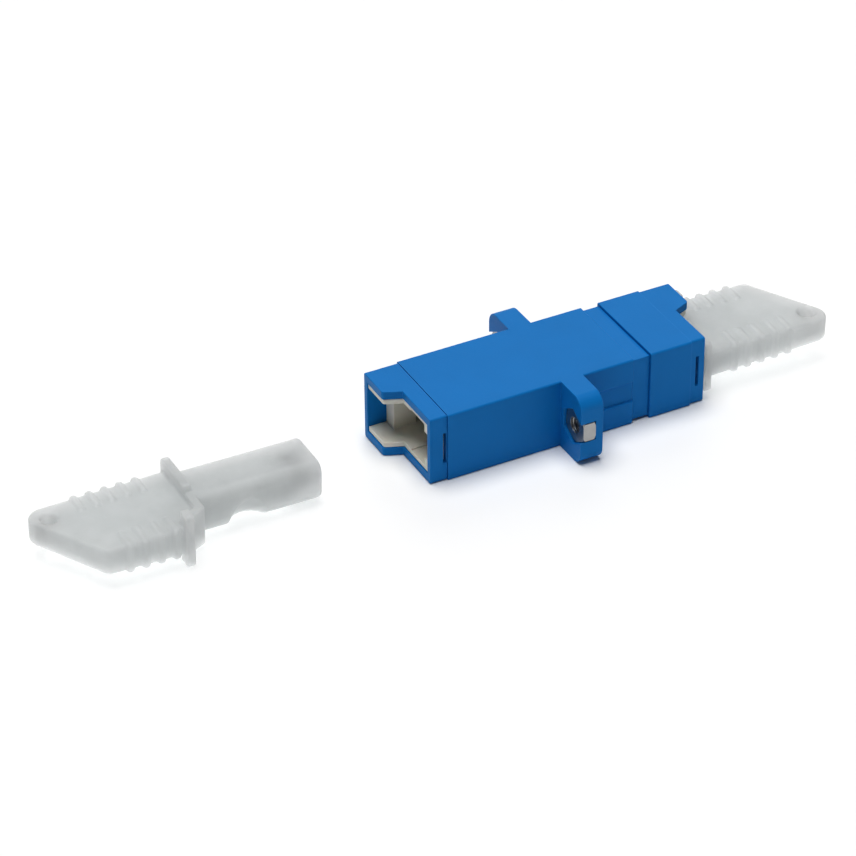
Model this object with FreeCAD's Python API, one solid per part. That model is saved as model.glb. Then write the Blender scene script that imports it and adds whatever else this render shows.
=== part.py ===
import FreeCAD, Part
import math
import os

# Panel-mount adapter for two latching fibre plugs, with its two dust plugs. Millimetres.
# X runs across the flange ears, Y along the fibre (front port towards -Y), Z up.
# The origin is midway between the two flange screw holes, on the rear face of the ears, which
# seats on the panel.

V = FreeCAD.Vector

# Housing
body_w = 12.55          # full section, across X
body_h = 8.9            # full section, along Z
body_edge_r = 0.25      # rounding of the long edges
front_len = 21.75       # panel seat to the longer side of the front mouth
rear_len = 18.45        # panel seat to the longer side of the rear mouth
front_end_len = 4.35    # slightly smaller end section at the front
rear_end_len = 4.05     # slightly smaller end section at the rear
end_inset_x = 0.2       # step of the end sections, each side
end_inset_z = 0.07      # step of the end sections, top and bottom
side_wall = 0.75        # end section, left and right
deck_wall = 1.05        # end section, top and bottom

# Mouths: the -X side reaches further out, the +X side is set back behind a slanted step
mouth_set_back = 2.15
step_x = -1.5           # where the longer side ends
step_run = 0.9          # X run of the slanted step
step_r = 0.4            # rounding of its outer corner

# Flange
ear_span = 22.0
ear_t = 2.9
ear_corner_r = 1.65
hole_pitch = 18.0
screw_hole_d = 2.2
nut_af = 4.0            # across flats
nut_t = 1.6
nut_bore_d = 1.6        # across the thread crests
nut_chamfer = 0.22
nut_play = 0.05         # each side, in the pocket
nut_sink = 0.35         # nut below the front face of the ear

# Clip neck behind the ears, and the side recesses that lead to it
neck_start = 6.7
neck_len = 2.25
neck_inset = 0.33
recess_h = 2.6
recess_depth = 0.3

# Spigot of the main housing in the rear housing
spigot_len = 3.4
socket_wall = 0.5
fit_gap = 0.05          # between moulded pieces that are pushed together
snap_w = 5.0
snap_h = 0.2
snap_len = 0.9
snap_set_back = 0.8     # snap ridge to the end of the spigot

# Slits in the +X wall that hold the guide inserts
slit_w = 0.4
slit_h = 4.0
front_slit_inset = 1.9  # from the set-back edge of the mouth
rear_slit_inset = 0.95
barb_reach = 0.2        # barb of the insert towards its slit

# Guide inserts that line the ports
insert_deck = 0.65      # top and bottom
insert_right = 0.9
insert_left = 0.5
insert_sink = 0.15      # behind the edge of the mouth
catch_w = 1.9           # latch catch on the -X side
catch_len = 2.9
catch_set_back = 2.4
latch_window_len = 3.0  # opening in the -X wall behind the catch
channel_x = 1.05        # shallow channel in the top and bottom, from here to the right wall
channel_depth = 0.2
mouth_slot_h = 3.6      # slot in the right wall of the insert, open to the mouth
mouth_slot_len = 3.0

# Split sleeve and its two half holders
fibre_x = 0.78          # fibre axis, on the side away from the catch
ferrule_d = 2.5
sleeve_wall = 0.35
sleeve_len = 11.4
sleeve_slit = 0.4
sleeve_play = 0.05      # radial, in the holders
sleeve_end_play = 0.05
holder_wall = 0.3
holder_lip_t = 0.4
holder_lip_play = 0.2   # radial, round the ferrule
holder_flange_t = 1.0

# Dust plug nose
nose_w = 6.15           # centred on the fibre axis
nose_overlap = 3.35     # length that goes over the sleeve holder
nose_end_play = 0.3
nose_play = 0.075       # above and below, in the insert
nose_bore_play = 0.15   # radial, round the sleeve holder
nose_round_r = 1.5      # edges on the catch side
nose_chamfer = 0.5
scallop_r = 2.8         # scallop across one edge on the catch side
scallop_lean = 35.0     # degrees from upright
scallop_reach = 2.1     # fibre axis to its deepest line
scallop_mid = 5.95      # from the seat of the collar

# Dust plug collar, stepped like the mouth
plug_gap = 0.05         # collar to the edge of the mouth
collar_w = 12.5
collar_h = 6.7
collar_t = 1.0
collar_corner_r = 0.7
collar_step_gap = 0.1
tongue_play = 0.125     # above and below, in the insert
tongue_end = 3.7        # reach past the middle, to the slanted web
web_run = 1.1

# Dust plug grip
grip_w = 11.2
grip_root_t = 3.8       # thickness at the collar
grip_tip_t = 3.0        # thickness at the tip
grip_len = 17.7         # from the seat of the collar to the tip
grip_chamfer = 0.3
grip_taper = 30.4       # degrees
tip_r = 1.75
shoulder_r = 1.0
cord_hole_d = 1.8
cord_hole_x = 2.3       # from the straight side
cord_hole_y = 2.1       # from the tip
rib_w = 0.95
rib_out = 0.3           # past the edge of the grip
rib_in = 3.0            # over the faces of the grip
rib_proud = 0.22
rib_pitch = 1.85
straight_ribs = 5
straight_rib_start = 4.4  # from the seat of the collar
taper_ribs = 4
taper_rib_start = 4.25

# Plug that is taken off, in front of the mouth
loose_gap = 10.15       # nose to the longer side of the front mouth
loose_x = 1.58
loose_tilt = 1.0        # degrees, nose down

# Derived sizes
front_y = -front_len
rear_y = rear_len
mid_y = (front_y + rear_y) / 2
end_w = body_w - 2 * end_inset_x
end_h = body_h - 2 * end_inset_z
cavity_w = end_w - 2 * side_wall
cavity_h = end_h - 2 * deck_wall
block_y = neck_start + neck_len
spigot_y = block_y + spigot_len
socket_w = body_w - 2 * socket_wall
socket_h = body_h - 2 * socket_wall
insert_w = cavity_w - 2 * fit_gap
insert_h = cavity_h - 2 * fit_gap
port_half_h = insert_h / 2 - insert_deck
sleeve_r = ferrule_d / 2 + sleeve_wall
holder_bore_r = sleeve_r + sleeve_play
holder_r = holder_bore_r + holder_wall
holder_lip_y = sleeve_len / 2 + sleeve_end_play
holder_reach = holder_lip_y + holder_lip_t
pocket_depth = nut_sink + nut_t
seat_y = rear_y - mouth_set_back + plug_gap
nose_half_h = port_half_h - nose_play
nose_len = seat_y - (mid_y + holder_reach) + nose_overlap
collar_step = mouth_set_back + collar_step_gap
tongue_half = port_half_h - tongue_play
floor_z = -body_h / 2


def block(w, h, y0, y1, x=0.0, z=0.0):
    """Box centred on x and z, from y0 to y1."""
    return Part.makeBox(w, y1 - y0, h, V(x - w / 2, y0, z - h / 2))


def span(x0, x1, y0, y1, half_h):
    """Box between two X and two Y places, centred on Z."""
    return Part.makeBox(x1 - x0, y1 - y0, 2 * half_h, V(x0, y0, -half_h))


def long_edges(shape):
    """Edges that run along Y."""
    found = []
    for edge in shape.Edges:
        a, b = edge.Vertexes[0].Point, edge.Vertexes[-1].Point
        if abs(a.x - b.x) < 1e-6 and abs(a.z - b.z) < 1e-6:
            found.append(edge)
    return found


def edges_at(shape, axis, place):
    """Edges that lie wholly in the plane axis = place."""
    found = []
    for edge in shape.Edges:
        box = edge.BoundBox
        low, high = getattr(box, axis + "Min"), getattr(box, axis + "Max")
        if abs(low - place) < 1e-5 and abs(high - place) < 1e-5:
            found.append(edge)
    return found


def rounded_bar(w, h, y0, y1):
    """Housing section with rounded long edges."""
    bar = block(w, h, y0, y1)
    return bar.makeFillet(body_edge_r, long_edges(bar))


def outline(corners, lift):
    """Face inside a closed outline of (u, v, radius) corners; lift maps (u, v) to a point."""
    count = len(corners)
    starts, ends, arcs = [], [], []
    for i, (u, v, r) in enumerate(corners):
        here = V(u, v, 0)
        back = V(*corners[i - 1][:2], 0) - here
        ahead = V(*corners[(i + 1) % count][:2], 0) - here
        back.normalize()
        ahead.normalize()
        half = back.getAngle(ahead) / 2
        middle = back + ahead
        reach = r / math.tan(half)
        starts.append(here + back * reach)
        ends.append(here + ahead * reach)
        if r > 0:
            middle.normalize()
            arcs.append(here + middle * (r / math.sin(half) - r))
        else:
            arcs.append(None)
    edges = []
    for i in range(count):
        nxt = (i + 1) % count
        if arcs[i] is not None:
            points = [lift(p.x, p.y) for p in (starts[i], arcs[i], ends[i])]
            edges.append(Part.Arc(*points).toShape())
        if (ends[i] - starts[nxt]).Length > 1e-7:
            edges.append(Part.makeLine(lift(ends[i].x, ends[i].y), lift(starts[nxt].x, starts[nxt].y)))
    return Part.Face(Part.Wire(edges))


def plan(corners, half_h):
    """Outline in plan, made thick about Z = 0."""
    face = outline(corners, lambda u, v: V(u, v, -half_h))
    return face.extrude(V(0, 0, 2 * half_h))


def section(corners, y0, y1):
    """Outline in the X-Z plane, made long from y0 to y1."""
    face = outline(corners, lambda u, v: V(u, y0, v))
    return face.extrude(V(0, y1 - y0, 0))


def mouth_cutter(sink=0.0):
    """Material in front of the front mouth; sink moves its edge into the port."""
    edge = front_y + sink
    far = front_y - body_w
    corners = [
        (-body_w, far, 0),
        (body_w, far, 0),
        (body_w, edge + mouth_set_back, 0),
        (step_x + step_run, edge + mouth_set_back, 0),
        (step_x, edge, step_r),
        (-body_w, edge, 0),
    ]
    return plan(corners, body_h)


def to_rear(shape):
    """Front port feature, mirrored to the rear port."""
    return shape.mirror(V(0, mid_y, 0), V(0, 1, 0))


def latch_slit(y):
    """Upright slit through the +X wall."""
    return span(cavity_w / 2 - fit_gap, body_w, y - slit_w / 2, y + slit_w / 2, slit_h / 2)


def hexagon(across_flats, x, y0, y1):
    """Hexagonal prism along Y with flats towards +X and -X."""
    r = across_flats / math.sqrt(3)
    corners = []
    for k in range(6):
        angle = math.radians(90 + 60 * k)
        corners.append((x + r * math.cos(angle), r * math.sin(angle), 0))
    return section(corners, y0, y1)


def rod(r, x, y0, y1):
    """Cylinder along Y."""
    return Part.makeCylinder(r, y1 - y0, V(x, y0, 0), V(0, 1, 0))


def flange():
    """Both ears as one plate, with its four outer corners rounded."""
    w, h = ear_span / 2, body_h / 2
    r = ear_corner_r
    return section([(-w, -h, r), (w, -h, r), (w, h, r), (-w, h, r)], -ear_t, 0)


def snap_ridge(side, grow):
    """Wedge across the top or bottom of the spigot; grow makes its pocket in the socket."""
    y1 = spigot_y - snap_set_back
    y0 = y1 - snap_len
    base = socket_h / 2 - fit_gap - 2 * snap_h
    top = socket_h / 2 - fit_gap + snap_h
    corners = [(y0 - grow, base), (y0 - grow, top + grow), (y1 + grow, base + 2 * snap_h), (y1 + grow, base)]
    half = snap_w / 2 + grow
    wire = Part.makePolygon([V(-half, y, side * z) for y, z in corners + corners[:1]])
    return Part.Face(wire).extrude(V(2 * half, 0, 0))


def make_main_housing():
    """Body with the front port, flange, clip neck and spigot."""
    step_y = front_y + front_end_len
    shell = rounded_bar(body_w, body_h, step_y, neck_start)
    shell = shell.fuse(rounded_bar(end_w, end_h, front_y, step_y))
    neck = block(body_w - 2 * neck_inset, body_h - 2 * neck_inset, neck_start, block_y)
    spigot = block(socket_w - 2 * fit_gap, socket_h - 2 * fit_gap, block_y, spigot_y)
    ridges = [snap_ridge(side, 0) for side in (-1, 1)]
    shell = shell.fuse([neck, spigot, flange()] + ridges)
    tools = [block(cavity_w, cavity_h, front_y, spigot_y), mouth_cutter()]
    tools.append(latch_slit(front_y + mouth_set_back + front_slit_inset))
    for side in (-1, 1):
        x = side * hole_pitch / 2
        tools.append(hexagon(nut_af + 2 * nut_play, x, -ear_t, pocket_depth - ear_t))
        tools.append(rod(screw_hole_d / 2, x, -ear_t, 0))
        tools.append(block(2 * recess_depth, recess_h, 0, neck_start, side * body_w / 2))
    return shell.cut(tools).removeSplitter()


def make_rear_housing():
    """Block with the rear port and the socket for the spigot."""
    step_y = rear_y - rear_end_len
    shell = rounded_bar(body_w, body_h, block_y, step_y)
    shell = shell.fuse(rounded_bar(end_w, end_h, step_y, rear_y))
    tools = [block(socket_w, socket_h, block_y, spigot_y + fit_gap)]
    tools.append(block(cavity_w, cavity_h, block_y, rear_y))
    tools.append(to_rear(mouth_cutter()))
    tools.append(latch_slit(rear_y - mouth_set_back - rear_slit_inset))
    tools += [snap_ridge(side, fit_gap) for side in (-1, 1)]
    return shell.cut(tools).removeSplitter()


def make_front_insert(slit_inset):
    """Frame that lines the front port, with the latch catch and the barb for the slit."""
    left, right = -insert_w / 2, insert_w / 2
    end_y = mid_y - holder_flange_t
    catch_y = front_y + catch_set_back
    port_left, port_right = left + insert_left, right - insert_right
    edge_y = front_y + mouth_set_back
    window_y = catch_y + catch_len
    frame = block(insert_w, insert_h, front_y, end_y)
    frame = frame.cut([
        span(port_left, port_right, front_y, end_y, port_half_h),
        span(channel_x, port_right, front_y, end_y, port_half_h + channel_depth),
        span(left, port_left, front_y, catch_y, port_half_h),
        span(left, port_left, window_y, window_y + latch_window_len, port_half_h),
        span(port_right, right, front_y, edge_y + mouth_slot_len, mouth_slot_h / 2),
        mouth_cutter(insert_sink),
    ])
    catch = span(left, left + catch_w, catch_y, window_y, port_half_h)
    barb_y = edge_y + slit_inset
    half = slit_w / 2 - fit_gap
    barb = span(port_right, right + barb_reach, barb_y - half, barb_y + half, slit_h / 2 - fit_gap)
    return frame.fuse([catch, barb]).removeSplitter()


def make_front_holder():
    """Flange and half tube that hold the front half of the split sleeve."""
    lip_r = ferrule_d / 2 + holder_lip_play
    flange_plate = block(insert_w, insert_h, mid_y - holder_flange_t, mid_y)
    tube = rod(holder_r, fibre_x, mid_y - holder_reach, mid_y)
    holder = flange_plate.fuse(tube)
    bore = rod(holder_bore_r, fibre_x, mid_y - holder_lip_y, mid_y)
    return holder.cut([bore, rod(lip_r, fibre_x, mid_y - holder_reach, mid_y)]).removeSplitter()


def make_sleeve():
    """Split tube that lines up the two ferrules."""
    y0, y1 = mid_y - sleeve_len / 2, mid_y + sleeve_len / 2
    tube = rod(sleeve_r, fibre_x, y0, y1).cut(rod(ferrule_d / 2, fibre_x, y0, y1))
    slit = Part.makeBox(sleeve_slit, sleeve_len, 2 * sleeve_r, V(fibre_x - sleeve_slit / 2, y0, 0))
    return tube.cut(slit)


def make_nut(side):
    """Hexagon nut with chamfered corners, on the floor of its pocket."""
    x = side * hole_pitch / 2
    y1 = pocket_depth - ear_t
    y0 = y1 - nut_t
    turned = rod(nut_af / math.sqrt(3), x, y0, y1)
    turned = turned.makeChamfer(nut_chamfer, edges_at(turned, "Y", y0) + edges_at(turned, "Y", y1))
    return hexagon(nut_af, x, y0, y1).common(turned).cut(rod(nut_bore_d / 2, x, y0, y1))


def plug_nose():
    """Nose with one round side, bored to pass over the sleeve holder, and a scallop across one edge."""
    left, right = -fibre_x - nose_w / 2, -fibre_x + nose_w / 2
    h = nose_half_h
    nose = section([(left, -h, 0), (right, -h, nose_round_r), (right, h, nose_round_r),
                    (left, h, 0)], -collar_t / 2, nose_len)
    nose = nose.makeChamfer(nose_chamfer, edges_at(nose, "Y", nose_len))
    bore_r = holder_r + nose_bore_play
    bore = rod(bore_r, -fibre_x, nose_len - nose_overlap - nose_end_play, nose_len)
    lean = math.radians(scallop_lean)
    along = V(math.sin(lean), 0, math.cos(lean))
    away = V(math.cos(lean), 0, -math.sin(lean))
    middle = V(-fibre_x, scallop_mid, 0) + away * (scallop_reach + scallop_r)
    scallop = Part.makeCylinder(scallop_r, 2 * nose_w, middle - along * nose_w, along)
    return nose.cut([bore, scallop])


def plug_collar():
    """Stop plate, stepped like the mouth: full height, low tongue, slanted web, full height."""
    side, back = collar_w / 2, -collar_step - collar_t
    plate_end = -(step_x + step_run) - 3 * collar_step_gap
    r = collar_corner_r
    h = collar_h / 2
    plate = section([(-side, -h, r), (plate_end, -h, 0), (plate_end, h, 0), (-side, h, r)], -collar_t, 0)
    tongue = plan([
        (plate_end - collar_t, 0, 0),
        (tongue_end, 0, 0),
        (tongue_end + web_run, -collar_step, 0),
        (side - r, -collar_step, 0),
        (side - r, back, 0),
        (tongue_end + web_run / 2, back, 0),
        (tongue_end - web_run / 2, -collar_t, 0),
        (plate_end - collar_t, -collar_t, 0),
    ], tongue_half)
    wing_x = tongue_end + web_run / 2
    wing = section([(wing_x, -h, 0), (side, -h, r), (side, h, r), (wing_x, h, 0)], back, -collar_step)
    return plate.fuse([tongue, wing])


def grip_half_t(y):
    """Half thickness of the grip, which thins towards its tip."""
    return grip_root_t / 2 + (grip_root_t - grip_tip_t) / 2 * y / grip_len


def plug_rib(side, y):
    """Rib over one edge of the grip, with round ends and a round top and bottom."""
    reach = grip_w / 2 + rib_out
    root = grip_w / 2 - rib_in
    w = rib_w / 2
    h = grip_half_t(y) + rib_proud
    x0, x1 = sorted((side * root, side * reach))
    bar = plan([(x0, y - w, w), (x1, y - w, w), (x1, y + w, w), (x0, y + w, w)], h)
    bead = outline([(y - w, -h, w), (y + w, -h, w), (y + w, h, w), (y - w, h, w)], lambda u, v: V(x0, u, v))
    return bar.common(bead.extrude(V(x1 - x0, 0, 0)))


def plug_grip():
    """Wedge-shaped grip with a rounded, holed tip on its straight side and ribs on both edges."""
    w = grip_w / 2
    back = -collar_step - collar_t / 2
    half_angle = math.radians(90 - grip_taper) / 2
    corner_y = -grip_len - tip_r * (1 / math.tan(half_angle) - 1)
    shoulder_y = corner_y + grip_w * math.tan(math.radians(grip_taper))
    blank = plan([
        (-w, -collar_t / 2, 0),
        (tongue_end - web_run / 2, -collar_t / 2, 0),
        (tongue_end + web_run / 2, back, 0),
        (w, back, 0),
        (w, shoulder_y, shoulder_r),
        (-w, corner_y, tip_r),
    ], grip_root_t)
    root, tip = grip_half_t(0), grip_half_t(-grip_len)
    wedge = outline([(0, -root, 0), (0, root, 0), (-grip_len, tip, 0), (-grip_len, -tip, 0)],
                    lambda u, v: V(-w, u, v))
    plate = blank.common(wedge.extrude(V(grip_w, 0, 0)))
    faces = sorted(plate.Faces, key=lambda face: face.Area)[-2:]
    plate = plate.makeChamfer(grip_chamfer, faces[0].Edges + faces[1].Edges)
    ribs = [plug_rib(-1, -straight_rib_start - k * rib_pitch) for k in range(straight_ribs)]
    ribs += [plug_rib(1, -taper_rib_start - k * rib_pitch) for k in range(taper_ribs)]
    hole_at = V(cord_hole_x - w, cord_hole_y - grip_len, -grip_root_t)
    return plate.fuse(ribs).cut(Part.makeCylinder(cord_hole_d / 2, 2 * grip_root_t, hole_at))


def make_plug():
    """Dust plug with its nose towards +Y and the seat of its collar at Y = 0."""
    return plug_grip().fuse([plug_collar(), plug_nose()]).removeSplitter()


def export(name, shape):
    shape.exportStep(os.path.join("parts", name + ".step"))


os.makedirs("parts", exist_ok=True)

export("main_housing", make_main_housing())
export("rear_housing", make_rear_housing())
export("front_guide_insert", make_front_insert(front_slit_inset))
export("rear_guide_insert", to_rear(make_front_insert(rear_slit_inset)))
export("front_sleeve_holder", make_front_holder())
export("rear_sleeve_holder", to_rear(make_front_holder()))
export("alignment_sleeve", make_sleeve())
export("left_flange_nut", make_nut(-1))
export("right_flange_nut", make_nut(1))

plug = make_plug()
rear_plug = plug.copy()
rear_plug.rotate(V(0, 0, 0), V(0, 0, 1), 180)
rear_plug.translate(V(0, seat_y, 0))
export("rear_dust_plug", rear_plug)
front_plug = plug.copy()
front_plug.rotate(V(0, 0, 0), V(1, 0, 0), -loose_tilt)
drop = collar_h / 2 * math.cos(math.radians(loose_tilt))
front_plug.translate(V(loose_x, front_y - loose_gap - nose_len, floor_z + drop))
export("front_dust_plug", front_plug)
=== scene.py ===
import math

import bmesh
import bpy
from bpy.props import FloatProperty, FloatVectorProperty, IntProperty, PointerProperty
from bpy.types import Operator, Panel, PropertyGroup
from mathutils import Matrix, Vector


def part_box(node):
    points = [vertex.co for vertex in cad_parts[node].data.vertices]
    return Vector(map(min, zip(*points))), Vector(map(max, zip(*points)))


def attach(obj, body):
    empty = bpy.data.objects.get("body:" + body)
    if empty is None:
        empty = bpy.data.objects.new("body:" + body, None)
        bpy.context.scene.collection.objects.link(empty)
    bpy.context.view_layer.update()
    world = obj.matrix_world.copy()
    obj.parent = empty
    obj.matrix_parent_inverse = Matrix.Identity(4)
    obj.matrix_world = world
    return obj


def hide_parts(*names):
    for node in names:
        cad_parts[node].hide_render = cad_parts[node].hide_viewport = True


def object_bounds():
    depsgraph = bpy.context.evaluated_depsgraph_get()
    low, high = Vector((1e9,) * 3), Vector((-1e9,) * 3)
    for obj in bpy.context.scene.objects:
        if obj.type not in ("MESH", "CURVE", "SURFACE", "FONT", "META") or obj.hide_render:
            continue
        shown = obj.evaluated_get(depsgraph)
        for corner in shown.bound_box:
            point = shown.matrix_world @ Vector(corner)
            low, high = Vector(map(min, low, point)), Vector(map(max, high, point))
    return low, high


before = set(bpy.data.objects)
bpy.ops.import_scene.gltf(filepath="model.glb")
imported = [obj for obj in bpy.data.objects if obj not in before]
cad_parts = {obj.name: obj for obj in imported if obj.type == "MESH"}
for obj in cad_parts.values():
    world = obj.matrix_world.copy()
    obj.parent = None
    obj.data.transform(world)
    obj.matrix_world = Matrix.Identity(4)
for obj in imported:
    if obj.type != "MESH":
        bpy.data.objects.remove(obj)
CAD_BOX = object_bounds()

bl_info = {
    "name": "Fibre Adapter",
    "version": (1, 0, 0),
    "blender": (4, 5, 0),
    "location": "3D View > Sidebar > Fibre Adapter",
    "description": "Models and finishes a panel-mount fibre adapter with its dust plugs",
    "category": "Object",
}

MM = 0.001
SHARP = math.radians(35)    # an edge that bends more than this is rounded
SMOOTH = math.radians(50)   # an edge that bends less than this is shaded smooth
ALIGNED = 0.999             # cosine past which a direction lies along an axis
LEVEL = 0.9                 # the same for the sloping faces of the grip
NEAR = 0.004 * MM           # a point this close to a plane lies in it
OVERLAP = 0.01 * MM         # a tool's reach past the end of a piece
RELIEF = 0.04 * MM          # depth of the grain
EDGE_GAIN = 4.0             # how fast the wear grows with the bend of an edge
SENSOR = 36.0               # width of the camera's sensor in millimetres


def length(name, millimetres, text):
    """Length property, given in millimetres and held in metres."""
    return FloatProperty(name=name, description=text, default=millimetres * MM, precision=5, unit="LENGTH")


def angle(name, degrees, text):
    """Angle property, given in degrees."""
    return FloatProperty(name=name, description=text, default=math.radians(degrees), subtype="ANGLE")


def count(name, number, text):
    return IntProperty(name=name, description=text, default=number, min=1)


def share(name, value, text):
    """Number from 0 to 1."""
    return FloatProperty(name=name, description=text, default=value, min=0, max=1, subtype="FACTOR")


def colour(name, rgb, text):
    """Linear colour property."""
    return FloatVectorProperty(name=name, description=text, default=rgb, size=3, min=0, max=1,
                               subtype="COLOR")


def position(name, place, text):
    """Place in metres."""
    return FloatVectorProperty(name=name, description=text, default=place, precision=5,
                               subtype="TRANSLATION")


def power(name, watts, text):
    return FloatProperty(name=name, description=text, default=watts, unit="POWER")


class HousingSizes(PropertyGroup):
    """Sizes of the two blue mouldings."""

    width: length("Width", 12.55, "Full section, across the ears")
    height: length("Height", 8.9, "Full section, top to bottom")
    edge_round: length("Edge Round", 0.25, "Rounding of the long edges")
    front_end: length("Front End", 4.35, "Length of the smaller front section")
    rear_end: length("Rear End", 4.05, "Length of the smaller rear section")
    end_inset_x: length("End Inset X", 0.2, "Step of the end sections, each side")
    end_inset_z: length("End Inset Z", 0.07, "Step of the end sections, top and bottom")
    groove: length("Groove", 0.1, "Fine groove at the front step")
    side_wall: length("Side Wall", 0.75, "Wall of the end sections, left and right")
    deck_wall: length("Deck Wall", 1.05, "Wall of the end sections, top and bottom")
    set_back: length("Set-back", 2.15, "Longer side of a mouth to its set-back side")
    step_x: length("Step X", -1.5, "Where the longer side of a mouth ends")
    step_run: length("Step Run", 0.9, "Run of the slanted step across the mouth")
    step_round: length("Step Round", 0.4, "Rounding of the step's outer corner")
    ear_thickness: length("Ear Thickness", 2.9, "Front to rear of the flange ears")
    ear_round: length("Ear Round", 1.65, "Outer corners of the ears")
    hole_pitch: length("Hole Pitch", 18.0, "Screw hole to screw hole")
    hole_width: length("Hole Width", 2.2, "Diameter of the screw holes")
    pocket_flats: length("Pocket Flats", 4.1, "Nut pocket across its flats")
    pocket_depth: length("Pocket Depth", 1.95, "Depth of the nut pockets")
    neck_start: length("Neck Start", 6.7, "Panel seat to the clip neck")
    neck_length: length("Neck Length", 2.25, "Length of the clip neck")
    neck_inset: length("Neck Inset", 0.33, "Depth of the clip neck")
    recess_height: length("Recess Height", 2.6, "Height of the side recesses")
    recess_depth: length("Recess Depth", 0.3, "Depth of the side recesses")
    recess_round: length("Recess Round", 0.2, "Rounding of their long edges")
    spigot_inset: length("Spigot Inset", 0.55, "Outside of the housing to the spigot")
    fit: length("Fit", 0.05, "Gap round the spigot")
    slit_width: length("Slit Width", 0.4, "Slits that hold the guide inserts")
    slit_height: length("Slit Height", 4.0, "Height of those slits")
    front_slit: length("Front Slit", 1.9, "Set-back edge of the front mouth to its slit")
    rear_slit: length("Rear Slit", 0.95, "Set-back edge of the rear mouth to its slit")
    softness: length("Softness", 0.09, "Rounding of the moulded edges")


class InsertSizes(PropertyGroup):
    """Sizes of the frames that line the ports."""

    fit: length("Fit", 0.05, "Gap to the housing")
    deck: length("Deck", 0.65, "Wall at the top and bottom")
    right: length("Right", 0.9, "Wall on the set-back side")
    left: length("Left", 0.5, "Wall on the longer side")
    sink: length("Sink", 0.15, "Behind the edge of the mouth")
    catch_width: length("Catch Width", 1.9, "Latch catch, across")
    catch_length: length("Catch Length", 2.9, "Latch catch, along the fibre")
    catch_back: length("Catch Back", 2.4, "Longer side of the mouth to the catch")
    window: length("Latch Window", 3.0, "Opening in the left wall behind the catch")
    channel_x: length("Channel X", 1.05, "Where the shallow channel starts")
    channel_depth: length("Channel Depth", 0.2, "Depth of the shallow channel")
    slot_height: length("Slot Height", 3.6, "Slot in the right wall")
    slot_length: length("Slot Length", 3.0, "Slot in the right wall, from the mouth")
    barb: length("Barb", 0.2, "Reach of the barb towards its slit")
    end_gap: length("End Gap", 1.0, "Middle of the adapter to the end of the frame")
    softness: length("Softness", 0.06, "Rounding of the moulded edges")


class NutSizes(PropertyGroup):
    """Sizes of the captive nuts."""

    flats: length("Flats", 4.0, "Across the flats")
    chamfer: length("Chamfer", 0.22, "Chamfer of the corners")
    thread_width: length("Thread Width", 2.0, "Diameter at the roots of the thread")
    crest_width: length("Crest Width", 1.6, "Diameter at the crests of the thread")
    pitch: length("Pitch", 0.4, "Pitch of the thread")
    ridge: length("Ridge", 0.336, "Foot of the thread's ridge, along the bore")
    ridge_sink: length("Ridge Sink", 0.02, "Foot of the ridge, into the wall")
    softness: length("Softness", 0.03, "Rounding of the edges")


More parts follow.
